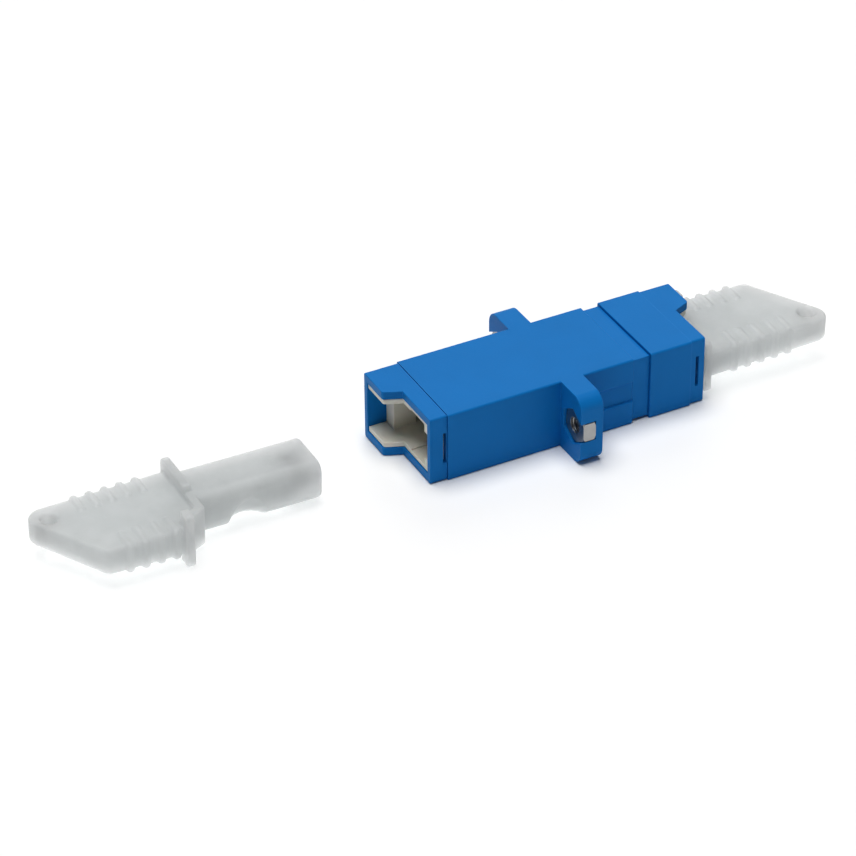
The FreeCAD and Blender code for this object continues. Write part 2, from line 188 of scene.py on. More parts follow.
class PlugSizes(PropertyGroup):
    """Sizes of the dust plugs."""

    fibre_x: length("Fibre X", 0.78, "Fibre axis, off the middle of the adapter")
    nose_width: length("Nose Width", 6.15, "Nose, across")
    nose_height: length("Nose Height", 5.1, "Nose, top to bottom")
    nose_length: length("Nose Length", 15.2, "Seat of the collar to the end of the nose")
    nose_round: length("Nose Round", 1.5, "Edges on the catch side")
    nose_edge: length("Nose Edge", 0.3, "Edges on the other side")
    nose_chamfer: length("Nose Chamfer", 0.5, "Edges of the nose's end")
    bore_width: length("Bore Width", 4.2, "Bore in the end of the nose")
    bore_depth: length("Bore Depth", 3.65, "Depth of that bore")
    scallop_radius: length("Scallop Radius", 2.8, "Scallop across one edge")
    scallop_reach: length("Scallop Reach", 2.1, "Fibre axis to the deepest line of the scallop")
    scallop_middle: length("Scallop Middle", 5.95, "Seat of the collar to the scallop")
    scallop_lean: angle("Scallop Lean", 35, "Scallop from upright")
    collar_width: length("Collar Width", 12.5, "Stop plate, across")
    collar_height: length("Collar Height", 6.7, "Stop plate, top to bottom")
    collar_thickness: length("Collar Thickness", 1.0, "Stop plate, along the fibre")
    collar_round: length("Collar Round", 0.7, "Corners of the stop plate")
    collar_edge: length("Collar Edge", 0.15, "Rounding of its thin edges")
    collar_end: length("Collar End", 0.3, "Where the plate ends past the middle")
    collar_step: length("Collar Step", 2.25, "Step of the collar along the fibre")
    tongue_height: length("Tongue Height", 5.0, "Low part between plate and wing")
    tongue_end: length("Tongue End", 3.7, "Where the slanted web starts")
    web_run: length("Web Run", 1.1, "Run of the slanted web across")
    grip_width: length("Grip Width", 11.2, "Grip, across")
    grip_root: length("Grip Root", 3.8, "Thickness at the collar")
    grip_tip: length("Grip Tip", 3.0, "Thickness at the tip")
    grip_length: length("Grip Length", 17.7, "Seat of the collar to the tip")
    grip_taper: angle("Grip Taper", 30.4, "Slant of the long edge")
    grip_round: length("Grip Round", 0.4, "Edges of the faces")
    tip_round: length("Tip Round", 1.75, "Corner at the tip")
    shoulder_round: length("Shoulder Round", 1.0, "Corner where the slant starts")
    hole_width: length("Hole Width", 1.8, "Cord hole in the tip")
    hole_x: length("Hole X", 2.3, "Straight side to the cord hole")
    hole_y: length("Hole Y", 2.1, "Tip to the cord hole")
    rib_width: length("Rib Width", 0.95, "Grip rib, along the fibre")
    rib_out: length("Rib Out", 0.3, "Rib past the edge of the grip")
    rib_in: length("Rib In", 3.0, "Rib over the faces of the grip")
    rib_proud: length("Rib Proud", 0.22, "Rib above the faces of the grip")
    rib_round: length("Rib Round", 0.4275, "Rounding of the ribs")
    rib_pitch: length("Rib Pitch", 1.85, "Rib to rib")
    straight_start: length("Straight Start", 4.4, "Seat of the collar to the first straight-side rib")
    taper_start: length("Taper Start", 4.25, "Seat of the collar to the first slanted-side rib")
    straight_ribs: count("Straight Ribs", 5, "Ribs on the straight side")
    taper_ribs: count("Slanted Ribs", 4, "Ribs on the slanted side")
    seat: length("Seat", 16.35, "Panel seat to the collar of the plug that is in")
    loose_gap: length("Loose Gap", 10.15, "Front mouth to the nose of the loose plug")
    loose_x: length("Loose X", 1.58, "Loose plug, off the middle")
    loose_tilt: angle("Loose Tilt", 1, "Loose plug, nose down")
    grain: length("Mesh Grain", 0.13, "Grain of the mesh that joins the parts of a plug")
    relax: share("Relax", 0.5, "Smoothing of that mesh in each round")
    relax_rounds: count("Relax Rounds", 3, "Rounds of smoothing")
    kept_faces: share("Kept Faces", 0.4, "Faces that stay when the mesh is thinned")


class FinishColours(PropertyGroup):
    """Colours of the finishes."""

    housing: colour("Housing", (0.008, 0.184, 0.5), "Blue housing plastic")
    # Lighter edge colour: partly rubbed wear, partly a painted highlight along the rounded edges.
    housing_wear_and_highlight: colour("Housing Wear And Highlight", (0.06, 0.29, 0.68), "Its rubbed edges")
    insert: colour("Insert", (0.7, 0.68, 0.605), "Off-white insert plastic")
    # Lighter edge colour: partly wear, partly a painted highlight along the rounded edges.
    insert_wear_and_highlight: colour("Insert Wear And Highlight", (0.93, 0.92, 0.87), "Its edges")
    plug: colour("Plug", (0.428, 0.445, 0.447), "Milky plug plastic")
    # Lighter edge colour: partly rubbed wear, partly a painted highlight on the ribs and rims.
    plug_wear_and_highlight: colour("Plug Wear And Highlight", (0.54, 0.56, 0.56), "Its rubbed edges")
    plug_glow: colour("Plug Glow", (0.87, 0.875, 0.875), "Light that passes through its skin")
    steel: colour("Steel", (0.38, 0.38, 0.375), "Plated nuts")
    # Brighter edge colour: partly rubbed plating, partly a painted highlight along the edges.
    steel_wear_and_highlight: colour("Steel Wear And Highlight", (0.68, 0.68, 0.67), "Their bright edges")
    ceramic: colour("Ceramic", (0.86, 0.85, 0.82), "Split sleeve")


class StageSettings(PropertyGroup):
    """Camera, floor and light."""

    camera_place: position("Camera Place", (0.31297, -0.17840, 0.24262), "Camera position")
    camera_turn: FloatVectorProperty(name="Camera Turn", description="Camera rotation", subtype="EULER",
                                     default=tuple(math.radians(a) for a in (55.304, 0.375, 62.417)))
    lens: FloatProperty(name="Lens", description="Focal length", default=157.86, unit="CAMERA")
    clip_start: length("Clip Start", 10, "Nearest thing that the camera sees")
    clip_end: length("Clip End", 50000, "Farthest thing that the camera sees")
    floor_size: length("Floor Size", 6000, "Side of the floor")
    floor_colour: colour("Floor", (0.97, 0.97, 0.97), "Pale floor")
    key_place: position("Key Place", (-0.33, -0.33, 5.0), "Position of the overhead light")
    key_size: length("Key Size", 3750, "Width of the overhead light")
    key_power: power("Key Power", 211, "Overhead light")
    back_place: position("Back Place", (-3.75, 2.17, 2.83), "Position of the light behind the adapter")
    back_size: length("Back Size", 3330, "Width of the light behind the adapter")
    back_power: power("Back Power", 33, "Light behind the adapter")
    horizon_colour: colour("Horizon", (0.53, 0.53, 0.53), "Surrounding light near the floor")
    sky_colour: colour("Sky", (0.068, 0.068, 0.068), "Surrounding light higher up")
    sky_height: share("Sky Height", 0.3, "Where the light near the floor has faded")


class AdapterSettings(PropertyGroup):
    """Everything that the panel shows."""

    housing: PointerProperty(type=HousingSizes)
    insert: PointerProperty(type=InsertSizes)
    nut: PointerProperty(type=NutSizes)
    plug: PointerProperty(type=PlugSizes)
    finish: PointerProperty(type=FinishColours)
    stage: PointerProperty(type=StageSettings)


def settings():
    return bpy.context.scene.fibre_adapter


def clear_selection():
    """Object mode, nothing selected."""
    if bpy.context.object is not None and bpy.context.object.mode != "OBJECT":
        bpy.ops.object.mode_set(mode="OBJECT")
    bpy.ops.object.select_all(action="DESELECT")


def activate(piece):
    clear_selection()
    bpy.context.view_layer.objects.active = piece
    piece.select_set(True)


def edit_all(piece):
    """Edit mode, with the whole piece selected."""
    activate(piece)
    bpy.ops.object.mode_set(mode="EDIT")
    bpy.ops.mesh.select_all(action="SELECT")


def apply_place(piece):
    """Puts the piece's place into its mesh."""
    activate(piece)
    bpy.ops.object.transform_apply(location=True, rotation=True, scale=True)


def copy_of(piece):
    """Copy with a mesh of its own."""
    activate(piece)
    bpy.ops.object.duplicate(linked=False)
    return bpy.context.object


def remove(piece):
    mesh = piece.data
    bpy.data.objects.remove(piece)
    bpy.data.meshes.remove(mesh)


def turn_outwards(piece):
    """Makes all faces of a closed piece point outwards."""
    edit_all(piece)
    bpy.ops.mesh.normals_make_consistent(inside=False)
    bpy.ops.object.mode_set(mode="OBJECT")


def bevel(piece, test, width, segments):
    """Bevels the edges for which test holds."""
    pick(piece, "EDGE", test)
    bpy.ops.mesh.bevel(offset=width, segments=segments, affect="EDGES", clamp_overlap=False)
    bpy.ops.object.mode_set(mode="OBJECT")


def block(name, low, high):
    """Box between two corners."""
    low, high = Vector(low), Vector(high)
    clear_selection()
    bpy.ops.mesh.primitive_cube_add(size=1, location=(low + high) / 2)
    piece = bpy.context.object
    piece.name = name
    piece.scale = high - low
    apply_place(piece)
    return piece


def rod(name, radius, start, end, sides=64):
    """Round or many-sided bar between two points."""
    start, end = Vector(start), Vector(end)
    clear_selection()
    bpy.ops.mesh.primitive_cylinder_add(vertices=sides, radius=radius, depth=(end - start).length,
                                        location=(start + end) / 2)
    piece = bpy.context.object
    piece.name = name
    piece.rotation_mode = "QUATERNION"
    piece.rotation_quaternion = (end - start).to_track_quat("Z", "Y")
    apply_place(piece)
    return piece


def rounded_outline(corners, steps=8):
    """Points of a closed outline of (u, v, radius) corners, with arcs at the corners."""
    points = []
    for i, (u, v, radius) in enumerate(corners):
        here = Vector((u, v))
        back = (Vector(corners[i - 1][:2]) - here).normalized()
        ahead = (Vector(corners[(i + 1) % len(corners)][:2]) - here).normalized()
        if radius <= 0:
            points.append(here)
            continue
        half = back.angle(ahead) / 2
        centre = here + (back + ahead).normalized() * radius / math.sin(half)
        first = here + back * radius / math.tan(half) - centre
        last = here + ahead * radius / math.tan(half) - centre
        sweep = first.angle_signed(last)
        for k in range(steps + 1):
            turn = -sweep * k / steps
            c, s = math.cos(turn), math.sin(turn)
            points.append(centre + Vector((c * first.x - s * first.y, s * first.x + c * first.y)))
    return points


def prism(name, corners, lift, run):
    """Outline of (u, v, radius) corners made thick; lift maps (u, v) to a point, run is the thickness."""
    points = rounded_outline(corners)
    clear_selection()
    bpy.ops.mesh.primitive_circle_add(vertices=len(points), radius=1, fill_type="NGON")
    piece = bpy.context.object
    piece.name = name
    for vertex, point in zip(piece.data.vertices, points):
        vertex.co = lift(*point)
    edit_all(piece)
    bpy.ops.mesh.extrude_region_move(TRANSFORM_OT_translate={"value": run})
    turn_outwards(piece)
    return piece


def pick(piece, kind, test):
    """Edit mode, with the vertices, edges or faces selected for which test holds."""
    activate(piece)
    bpy.ops.object.mode_set(mode="EDIT")
    bpy.ops.mesh.select_mode(type=kind)
    bpy.ops.mesh.select_all(action="DESELECT")
    mesh = bmesh.from_edit_mesh(piece.data)
    found = 0
    for part in {"VERT": mesh.verts, "EDGE": mesh.edges, "FACE": mesh.faces}[kind]:
        if test(part):
            part.select_set(True)
            found += 1
    if not found:
        raise RuntimeError(f"{piece.name}: nothing to shape")
    mesh.select_flush_mode()
    bmesh.update_edit_mesh(piece.data)


def along(edge, axis):
    """True for an edge that runs along an axis."""
    run = edge.verts[1].co - edge.verts[0].co
    return abs(run[axis]) > ALIGNED * run.length


def faces_to(face, axis, side):
    """True for a face that looks along an axis, to one side."""
    return face.normal[axis] * side > ALIGNED


def in_plane(edge, axis, place):
    """True for an edge in the plane across an axis at a place."""
    return all(abs(v.co[axis] - place) < NEAR for v in edge.verts)


def beside(edge, y, reach):
    """True for an edge that starts and ends within reach of a place along the fibre."""
    return all(abs(v.co.y - y) < reach + NEAR for v in edge.verts)


def is_sharp(edge):
    return len(edge.link_faces) == 2 and edge.calc_face_angle(0.0) > SHARP


def boolean(piece, tool, operation):
    """Joins, cuts or intersects the piece with a tool, which is used up."""
    activate(piece)
    change = piece.modifiers.new(name=operation.title(), type="BOOLEAN")
    change.operation = operation
    change.solver = "EXACT"
    change.object = tool
    bpy.ops.object.modifier_apply(modifier=change.name)
    remove(tool)


def cut(piece, *tools):
    for tool in tools:
        boolean(piece, tool, "DIFFERENCE")


def fuse(piece, *others):
    for other in others:
        boolean(piece, other, "UNION")


def join(piece, *others):
    """One mesh from several, each still closed in itself."""
    clear_selection()
    for other in others:
        other.select_set(True)
    piece.select_set(True)
    bpy.context.view_layer.objects.active = piece
    bpy.ops.object.join()


def soften(piece, width, keep=lambda edge: False):
    """Rounds the sharp outer edges, apart from those that keep holds for, and shades the piece."""
    bevel(piece, lambda e: is_sharp(e) and e.is_convex and not keep(e), width, segments=3)
    shade(piece)


def shade(piece):
    """Smooth shading that keeps large faces flat."""
    activate(piece)
    bpy.ops.object.shade_smooth_by_angle(angle=SMOOTH)
    weights = piece.modifiers.new(name="Weighted Normals", type="WEIGHTED_NORMAL")
    weights.keep_sharp = True
    bpy.ops.object.modifier_apply(modifier=weights.name)


def finish_piece(piece, name, body, slot, material, *nodes):
    """Names the piece, gives it its finish and sets it in the frame."""
    clear_selection()
    piece.name = name
    piece.data.name = name
    piece.data.materials.clear()
    piece.data.materials.append(material)
    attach(piece, body)
    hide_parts(*nodes)


def new_group(name, inputs, outputs):
    """Shader node group with (name, kind, default) inputs and (name, kind) outputs."""
    group = bpy.data.node_groups.new(name, "ShaderNodeTree")
    for label, kind, value in inputs:
        socket = group.interface.new_socket(label, in_out="INPUT", socket_type=kind)
        socket.default_value = value
    for label, kind in outputs:
        group.interface.new_socket(label, in_out="OUTPUT", socket_type=kind)
    return group, group.nodes.new("NodeGroupInput"), group.nodes.new("NodeGroupOutput")


def add_node(tree, kind, place, **options):
    node = tree.nodes.new(kind)
    node.location = place
    for key, value in options.items():
        setattr(node, key, value)
    return node


def maths(tree, operation, a, b, place):
    """Math node; a and b are sockets or numbers."""
    node = add_node(tree, "ShaderNodeMath", place, operation=operation)
    for socket, value in zip(node.inputs, (a, b)):
        if isinstance(value, (int, float)):
            socket.default_value = value
        else:
            tree.links.new(value, socket)
    return node.outputs[0]


def noise(tree, size, detail, place):
    """Pattern on the piece's own coordinates; size is the socket that holds its patch size."""
    x, y = place
    coords = add_node(tree, "ShaderNodeTexCoord", (x - 400, y))
    scale = maths(tree, "DIVIDE", 1.0, size, (x - 200, y - 150))
    pattern = add_node(tree, "ShaderNodeTexNoise", place)
    pattern.inputs["Detail"].default_value = detail
    tree.links.new(coords.outputs["Object"], pattern.inputs["Vector"])
    tree.links.new(scale, pattern.inputs["Scale"])
    return pattern.outputs["Fac"]


def grain_group(name):
    """Fine moulded grain and slow sink waves, as a height and as a roughness shift."""
    group, ins, outs = new_group(
        name,
        [("Grain Size", "NodeSocketFloat", 0.2 * MM), ("Wave Size", "NodeSocketFloat", 6 * MM),
         ("Wave Share", "NodeSocketFloat", 0.5)],
        [("Height", "NodeSocketFloat"), ("Shift", "NodeSocketFloat")])
    grain = noise(group, ins.outputs["Grain Size"], 4.0, (-500, 0))
    waves = noise(group, ins.outputs["Wave Size"], 1.5, (-500, -300))
    wave = maths(group, "MULTIPLY", waves, ins.outputs["Wave Share"], (-250, -300))
    group.links.new(maths(group, "ADD", grain, wave, (0, 0)), outs.inputs["Height"])
    group.links.new(maths(group, "SUBTRACT", grain, 0.5, (0, -250)), outs.inputs["Shift"])
    return group


def wear_and_highlight_mask_group(name):
    """Mask of the edges, broken up by a slow pattern; the finishes paint a lighter colour there, partly as
    rubbed wear and partly as a painted highlight.
    """
    group, ins, outs = new_group(
        name,
        [("Reach", "NodeSocketFloat", 0.2 * MM), ("Amount", "NodeSocketFloat", 1.0),
         ("Patch Size", "NodeSocketFloat", 2 * MM)],
        [("Mask", "NodeSocketFloat")])
    round_normal = add_node(group, "ShaderNodeBevel", (-700, 0), samples=4)
    flat_normal = add_node(group, "ShaderNodeNewGeometry", (-700, -150))
    group.links.new(ins.outputs["Reach"], round_normal.inputs["Radius"])
    dot = add_node(group, "ShaderNodeVectorMath", (-500, 0), operation="DOT_PRODUCT")
    group.links.new(round_normal.outputs["Normal"], dot.inputs[0])
    group.links.new(flat_normal.outputs["Normal"], dot.inputs[1])
    bend = maths(group, "SUBTRACT", 1.0, dot.outputs["Value"], (-300, 0))
    edge = maths(group, "MULTIPLY", bend, EDGE_GAIN, (-150, 0))
    patches = noise(group, ins.outputs["Patch Size"], 3.0, (-500, -300))
    broken = maths(group, "MULTIPLY", edge, patches, (0, 0))
    mask = add_node(group, "ShaderNodeClamp", (300, 0))
    amount = maths(group, "MULTIPLY", broken, ins.outputs["Amount"], (150, 0))
    group.links.new(amount, mask.inputs["Value"])
    group.links.new(mask.outputs["Result"], outs.inputs["Mask"])
    return group


def drift_group(name):
    """Slow drift of a colour's brightness, with faint cloudy patches."""
    group, ins, outs = new_group(
        name,
        [("Colour", "NodeSocketColor", (0.5, 0.5, 0.5, 1)), ("Patch Size", "NodeSocketFloat", 4 * MM),
         ("Amount", "NodeSocketFloat", 0.1)],
        [("Colour", "NodeSocketColor")])
    patches = noise(group, ins.outputs["Patch Size"], 3.0, (-500, 0))
    centred = maths(group, "SUBTRACT", patches, 0.5, (-300, 0))
    drift = maths(group, "MULTIPLY", centred, ins.outputs["Amount"], (-150, 0))
    value = maths(group, "ADD", drift, 1.0, (0, 0))
    shifted = add_node(group, "ShaderNodeHueSaturation", (200, 0))
    group.links.new(value, shifted.inputs["Value"])
    group.links.new(ins.outputs["Colour"], shifted.inputs["Color"])
    group.links.new(shifted.outputs["Color"], outs.inputs["Colour"])
    return group


def place_group(tree, name, make, place, values):
    """Node of a shared group, which is made when it is first placed."""
    group = bpy.data.node_groups.get(name) or make(name)
    node = add_node(tree, "ShaderNodeGroup", place, node_tree=group)
    for label, value in values.items():
        node.inputs[label].default_value = value
    return node


# Values of the groups and of the shader for each finish. Colours and glow name the finish settings, and
# roughness_swing says how much the grain changes the roughness. The second colour and the edge mask values
# paint the edges lighter: partly rubbed wear, partly a painted highlight.
FINISHES = {
    "housing_plastic": {
        "colours": ("housing", "housing_wear_and_highlight"), "roughness": 0.38, "roughness_swing": 0.15, "bump": 0.25,
        "grain": {"Grain Size": 0.22 * MM, "Wave Size": 7 * MM, "Wave Share": 1.0},
        "wear_and_highlight": {"Reach": 0.18 * MM, "Amount": 0.9, "Patch Size": 1.5 * MM},
        "drift": {"Patch Size": 5 * MM, "Amount": 0.12},
        "shader": {"Specular IOR Level": 0.1},
    },
    "insert_plastic": {
        "colours": ("insert", "insert_wear_and_highlight"), "roughness": 0.45, "roughness_swing": 0.15, "bump": 0.2,
        "grain": {"Grain Size": 0.18 * MM, "Wave Size": 4 * MM, "Wave Share": 0.8},
        "wear_and_highlight": {"Reach": 0.15 * MM, "Amount": 1.2, "Patch Size": 1 * MM},
        "drift": {"Patch Size": 3 * MM, "Amount": 0.15},
        "shader": {"Subsurface Weight": 0.1, "Subsurface Scale": 0.4 * MM},
    },
    "plug_plastic": {
        "colours": ("plug", "plug_wear_and_highlight"), "roughness": 0.55, "roughness_swing": 0.15, "bump": 0.3,
        "grain": {"Grain Size": 0.35 * MM, "Wave Size": 4 * MM, "Wave Share": 1.6},
        "wear_and_highlight": {"Reach": 0.3 * MM, "Amount": 0.5, "Patch Size": 2 * MM},
        "drift": {"Patch Size": 2.6 * MM, "Amount": 0.2},
        "shader": {"Subsurface Weight": 1.0, "Subsurface Radius": (1.0, 1.0, 1.0),
                   "Subsurface Scale": 14 * MM},
        "glow": "plug_glow",
    },
    "plated_steel": {
        "colours": ("steel", "steel_wear_and_highlight"), "roughness": 0.34, "roughness_swing": 0.3, "bump": 0.15,
        "grain": {"Grain Size": 0.12 * MM, "Wave Size": 1 * MM, "Wave Share": 0.5},
        "wear_and_highlight": {"Reach": 0.1 * MM, "Amount": 1.5, "Patch Size": 0.6 * MM},
        "drift": {"Patch Size": 1.2 * MM, "Amount": 0.2},
        "shader": {"Metallic": 1.0},
    },
    "ground_ceramic": {
        "colours": ("ceramic", "ceramic"), "roughness": 0.18, "roughness_swing": 0.15, "bump": 0.08,
        "grain": {"Grain Size": 0.08 * MM, "Wave Size": 2 * MM, "Wave Share": 0.2},
        "wear_and_highlight": {"Reach": 0.1 * MM, "Amount": 0.3, "Patch Size": 1 * MM},
        "drift": {"Patch Size": 2 * MM, "Amount": 0.05},
        "shader": {},
    },
}


def finish(name):
    """Material of one of the finishes, made when it is first asked for."""
    if name not in bpy.data.materials:
        new_finish(name, FINISHES[name])
    return bpy.data.materials[name]


def new_finish(name, values):
    """Material whose colour, roughness and bump come from the shared groups."""
    base, wear_and_highlight_colour = ((*getattr(settings().finish, key), 1) for key in values["colours"])
    material = bpy.data.materials.new(name)
    material.use_nodes = True
    tree = material.node_tree
    shader = tree.nodes["Principled BSDF"]
    skin = place_group(tree, "Moulded Grain", grain_group, (-900, -300), values["grain"])
    edge = place_group(tree, "Edge Wear And Highlight", wear_and_highlight_mask_group, (-900, 0), values["wear_and_highlight"])
    tint = place_group(tree, "Colour Drift", drift_group, (-900, 300), {"Colour": base, **values["drift"]})
    # The edges get the second colour: partly rubbed wear, partly a painted highlight.
    mix = add_node(tree, "ShaderNodeMix", (-500, 200), data_type="RGBA")
    colours = [socket for socket in mix.inputs if socket.type == "RGBA"]
    colours[1].default_value = wear_and_highlight_colour
    tree.links.new(edge.outputs["Mask"], mix.inputs["Factor"])
    tree.links.new(tint.outputs["Colour"], colours[0])
    mixed = [socket for socket in mix.outputs if socket.type == "RGBA"][0]
    tree.links.new(mixed, shader.inputs["Base Color"])
    swing = maths(tree, "MULTIPLY", skin.outputs["Shift"], values["roughness_swing"], (-500, -150))
    rough = maths(tree, "ADD", swing, values["roughness"], (-300, -150))
    tree.links.new(rough, shader.inputs["Roughness"])
    relief = add_node(tree, "ShaderNodeBump", (-300, -350))
    relief.inputs["Strength"].default_value = values["bump"]
    relief.inputs["Distance"].default_value = RELIEF
    tree.links.new(skin.outputs["Height"], relief.inputs["Height"])
    tree.links.new(relief.outputs["Normal"], shader.inputs["Normal"])
    for socket, value in values["shader"].items():
        shader.inputs[socket].default_value = value
    if "glow" in values:
        let_light_through(tree, shader, getattr(settings().finish, values["glow"]))


def let_light_through(tree, shader, tint):
    """Milky plastic: light from the lamps also reaches what lies behind it."""
    path = add_node(tree, "ShaderNodeLightPath", (0, 500))
    clear = add_node(tree, "ShaderNodeBsdfTransparent", (200, 200))
    both = add_node(tree, "ShaderNodeMixShader", (450, 300))
    clear.inputs["Color"].default_value = (*tint, 1)
    tree.links.new(path.outputs["Is Shadow Ray"], both.inputs[0])
    tree.links.new(shader.outputs["BSDF"], both.inputs[1])
    tree.links.new(clear.outputs["BSDF"], both.inputs[2])
    tree.links.new(both.outputs["Shader"], tree.nodes["Material Output"].inputs["Surface"])


def ends():
    """Y of the front mouth, the rear mouth and the middle between them."""
    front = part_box("main_housing")[0].y
    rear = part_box("rear_housing")[1].y
    return front, rear, (front + rear) / 2


def cavity(size):
    """Half width and half height of the port cavity."""
    return (size.width / 2 - size.end_inset_x - size.side_wall,
            size.height / 2 - size.end_inset_z - size.deck_wall)


def mouth_cutter(size, edge, outwards):
    """What is cut away in front of a mouth; outwards is -1 at the front and 1 at the rear."""
    far = edge + outwards * size.width
    back = edge - outwards * size.set_back
    w, h = size.width, size.height
    corners = [(-w, far, 0), (w, far, 0), (w, back, 0), (size.step_x + size.step_run, back, 0),
               (size.step_x, edge, size.step_round), (-w, edge, 0)]
    return prism("mouth_cutter", corners, lambda u, v: Vector((u, v, -h)), (0, 0, 2 * h))


def housing_bar(name, size, y0, y1):
    """Housing section with rounded long edges."""
    w, h = size.width / 2, size.height / 2
    piece = block(name, (-w, y0, -h), (w, y1, h))
    bevel(piece, lambda e: along(e, 1), size.edge_round, segments=4)
    return piece


def end_section(piece, size, axis_side, length_out):
    """Draws the smaller end section out of the end face of a housing bar."""
    pick(piece, "FACE", lambda f: faces_to(f, 1, axis_side))
    bpy.ops.mesh.extrude_region()
    shrink = (1 - 2 * size.end_inset_x / size.width, 1, 1 - 2 * size.end_inset_z / size.height)
    bpy.ops.transform.resize(value=shrink, center_override=(0, 0, 0))
    bpy.ops.mesh.extrude_region_move(TRANSFORM_OT_translate={"value": (0, axis_side * length_out, 0)})
    bpy.ops.object.mode_set(mode="OBJECT")


def step_groove(size, y0, y1):
    """Ring that cuts the fine groove round an end section, beside its step."""
    w = size.width / 2 - size.end_inset_x - size.groove
    h = size.height / 2 - size.end_inset_z - size.groove
    ring = block("groove", (-size.width, y0, -size.width), (size.width, y1, size.width))
    cut(ring, block("core", (-w, y0 - size.width, -h), (w, y1 + size.width, h)))
    return ring


def slit(size, y):
    """Cutter of an upright slit through the right wall of a port."""
    x, reach, h = cavity(size)[0] - size.fit, size.slit_width / 2, size.slit_height / 2
    return block("slit", (x, y - reach, -h), (size.width, y + reach, h))


class FIBREADAPTER_OT_main_housing(Operator):
    """Model the blue housing with the front port, the flange ears and the clip neck"""

    bl_idname = "fibre_adapter.main_housing"
    bl_label = "Main Housing"

    def execute(self, context):
        size = settings().housing
        front, _, _ = ends()
        low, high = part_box("main_housing")
        step_y = front + size.front_end
        neck_end = size.neck_start + size.neck_length
        piece = housing_bar("main_housing_shell", size, step_y, size.neck_start)
        end_section(piece, size, -1, size.front_end)
        for inset, y0, y1 in ((size.neck_inset, size.neck_start, neck_end),
                              (size.spigot_inset, neck_end, high.y)):
            w, h = size.width / 2 - inset, size.height / 2 - inset
            fuse(piece, block("neck", (-w, y0, -h), (w, y1, h)))
        fuse(piece, self.flange(size, low, high))
        w, h = cavity(size)
        cut(piece,
            block("port", (-w, 2 * front, -h), (w, 2 * high.y, h)),
            mouth_cutter(size, front, -1),
            slit(size, front + size.set_back + size.front_slit),
            step_groove(size, step_y - size.groove, step_y))
        for side in (-1, 1):
            cut(piece, *self.ear_cutters(size, side), self.recess_cutter(size, side))
        bevel(piece, lambda e: self.borders_recess(e, size), size.recess_round, segments=3)
        soften(piece, size.softness, keep=lambda e: beside(e, step_y, size.groove))
        finish_piece(piece, "main_housing_moulding", "adapter", "blue_housing",
                     finish("housing_plastic"), "main_housing")
        return {"FINISHED"}

    def ear_cutters(self, size, side):
        """Cutters of the nut pocket and the screw hole in one ear."""
        x, thickness = side * size.hole_pitch / 2, size.ear_thickness
        corner = size.pocket_flats / math.sqrt(3)
        pocket_y = size.pocket_depth - thickness
        return (rod("pocket", corner, (x, -2 * thickness, 0), (x, pocket_y, 0), sides=6),
                rod("hole", size.hole_width / 2, (x, -thickness, 0), (x, thickness, 0), sides=32))

    def recess_cutter(self, size, side):
        """Cutter of the shallow recess behind one ear."""
        x, r, h = side * size.width / 2, size.recess_depth, size.recess_height / 2
        return block("recess", (x - r, 0, -h), (x + r, size.neck_start + OVERLAP, h))

    def borders_recess(self, edge, size):
        """True for the outer edges along the side recesses."""
        x, z = size.width / 2, size.recess_height / 2
        return along(edge, 1) and any(in_plane(edge, 0, side * x) and in_plane(edge, 2, rise * z)
                                      for side in (-1, 1) for rise in (-1, 1))

    def flange(self, size, low, high):
        """Plate of both ears, with its four outer corners rounded."""
        r = size.ear_round
        corners = [(low.x, low.z, r), (high.x, low.z, r), (high.x, high.z, r), (low.x, high.z, r)]
        thickness = size.ear_thickness
        return prism("flange", corners, lambda u, v: Vector((u, -thickness, v)), (0, thickness, 0))


class FIBREADAPTER_OT_rear_housing(Operator):
    """Model the blue block with the rear port"""

    bl_idname = "fibre_adapter.rear_housing"
    bl_label = "Rear Housing"

    def execute(self, context):
        size = settings().housing
        _, rear, _ = ends()
        low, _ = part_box("rear_housing")
        step_y = rear - size.rear_end
        piece = housing_bar("rear_housing_shell", size, low.y, step_y)
        end_section(piece, size, 1, size.rear_end)
        w, h = cavity(size)
        spigot_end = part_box("main_housing")[1].y + size.fit
        sw, sh = (side / 2 - size.spigot_inset + size.fit for side in (size.width, size.height))
        cut(piece,
            block("port", (-w, 0, -h), (w, 2 * rear, h)),
            block("socket", (-sw, 0, -sh), (sw, spigot_end, sh)),
            mouth_cutter(size, rear, 1),
            slit(size, rear - size.set_back - size.rear_slit))
        soften(piece, size.softness, keep=lambda e: beside(e, step_y, size.groove))
        finish_piece(piece, "rear_housing_moulding", "adapter", "blue_housing",
                     finish("housing_plastic"), "rear_housing")
        return {"FINISHED"}


